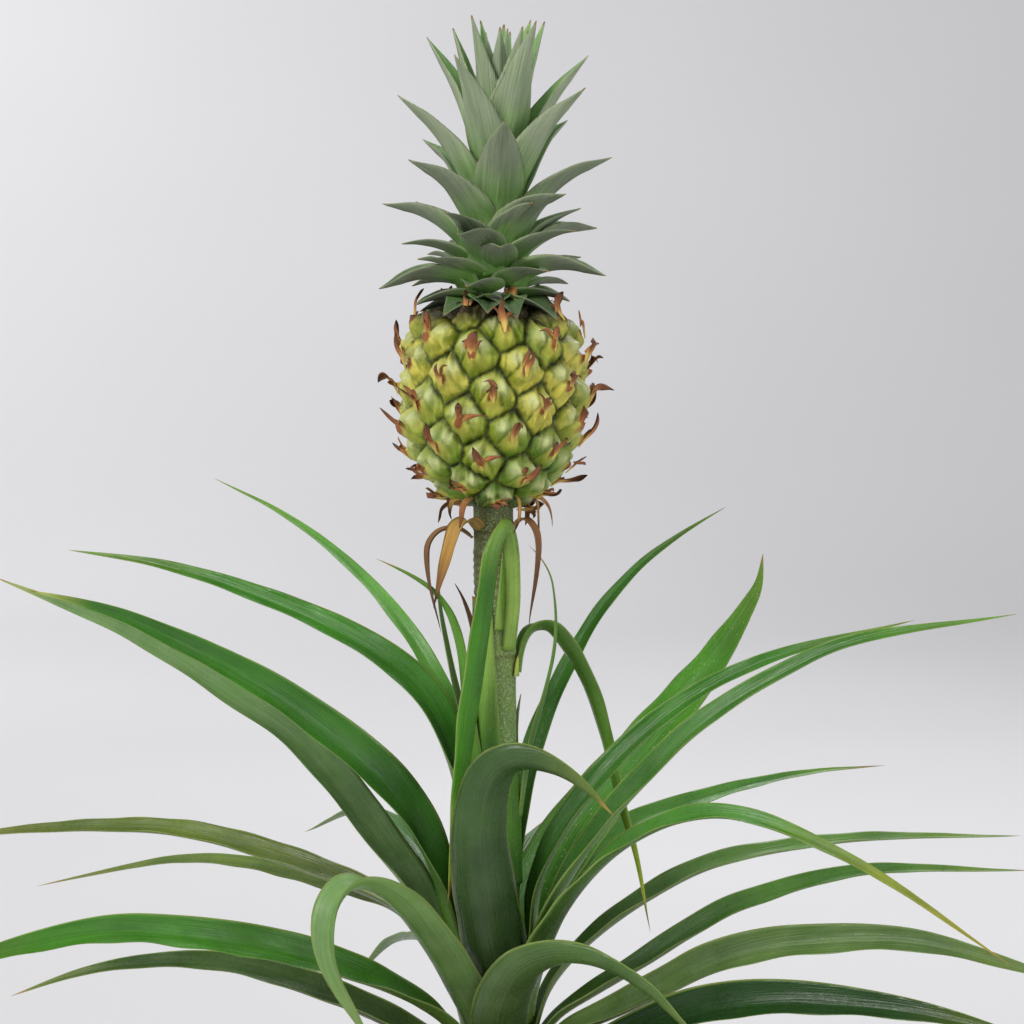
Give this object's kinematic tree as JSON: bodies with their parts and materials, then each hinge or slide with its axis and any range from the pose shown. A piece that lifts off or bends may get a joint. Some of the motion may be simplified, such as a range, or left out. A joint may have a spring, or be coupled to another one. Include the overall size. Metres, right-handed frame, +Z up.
{
  "type": "potted pineapple plant",
  "caption": "Fruiting ornamental pineapple in a plain tapered nursery pot: arching channelled leaves, an upright stalk, a small fruit and a leafy crown.",
  "frame": {"origin": "centre of the pot's flat underside", "axes": "+Z up along the plant and the pot's axis, -Y towards the side the plant is looked at from, +X to that viewer's right"},
  "size_m": [0.4755, 0.3037, 0.5469],
  "materials": {
    "pot": "terracotta-coloured nursery plastic, satin",
    "potting_mix": null,
    "core": "fibrous green stem",
    "stalk": "green stalk with pale scurf",
    "fruit": "yellow-green rind, satin",
    "crown": "grey-green leaf with pale bloom",
    "bract": "dried brown bract, papery",
    "leaf": "green leaf, satin, waxy"
  },
  "bodies": {
    "root": {"bract_brown_left": "bract", "bract_brown_right": "bract", "bract_gold": "bract", "crown_heart": "crown", "crown_leaf_01": "crown", "crown_leaf_02": "crown", "crown_leaf_03": "crown", "crown_leaf_04": "crown", "crown_leaf_05": "crown", "crown_leaf_06": "crown", "crown_leaf_07": "crown", "crown_leaf_08": "crown", "crown_leaf_09": "crown", "crown_leaf_10": "crown", "crown_leaf_11": "crown", "crown_leaf_12": "crown", "crown_leaf_13": "crown", "crown_leaf_14": "crown", "crown_leaf_15": "crown", "crown_leaf_16": "crown", "crown_leaf_17": "crown", "crown_leaf_18": "crown", "crown_leaf_19": "crown", "crown_leaf_20": "crown", "crown_leaf_21": "crown", "fruit": "fruit", "fruit_stalk": "stalk", "leaf_back_left": "leaf", "leaf_back_low": "leaf", "leaf_back_right": "leaf", "leaf_back_tall": "leaf", "leaf_front_folded": "leaf", "leaf_front_low": "leaf", "leaf_front_tall": "leaf", "leaf_left_arch": "leaf", "leaf_left_arch_low": "leaf", "leaf_left_high": "leaf", "leaf_left_long_upper": "leaf", "leaf_left_long_lower": "leaf", "leaf_left_olive": "leaf", "leaf_left_olive_low": "leaf", "leaf_left_steep_back": "leaf", "leaf_right_band_1": "leaf", "leaf_right_band_2": "leaf", "leaf_right_band_3": "leaf", "leaf_right_band_4": "leaf", "leaf_right_broad_back": "leaf", "leaf_right_front_arch": "leaf", "leaf_right_high": "leaf", "leaf_right_long": "leaf", "leaf_right_short_back": "leaf", "leaf_right_steep_back": "leaf", "leafy_core": "core", "pot": "pot", "potting_mix": "potting_mix", "stalk_leaf_left": "leaf", "stalk_leaf_over_top": "leaf", "stalk_leaf_right_drop": "leaf", "stalk_leaf_thin_left": "leaf", "stalk_leaf_thin_right": "leaf"}
  },
  "joints": []
}
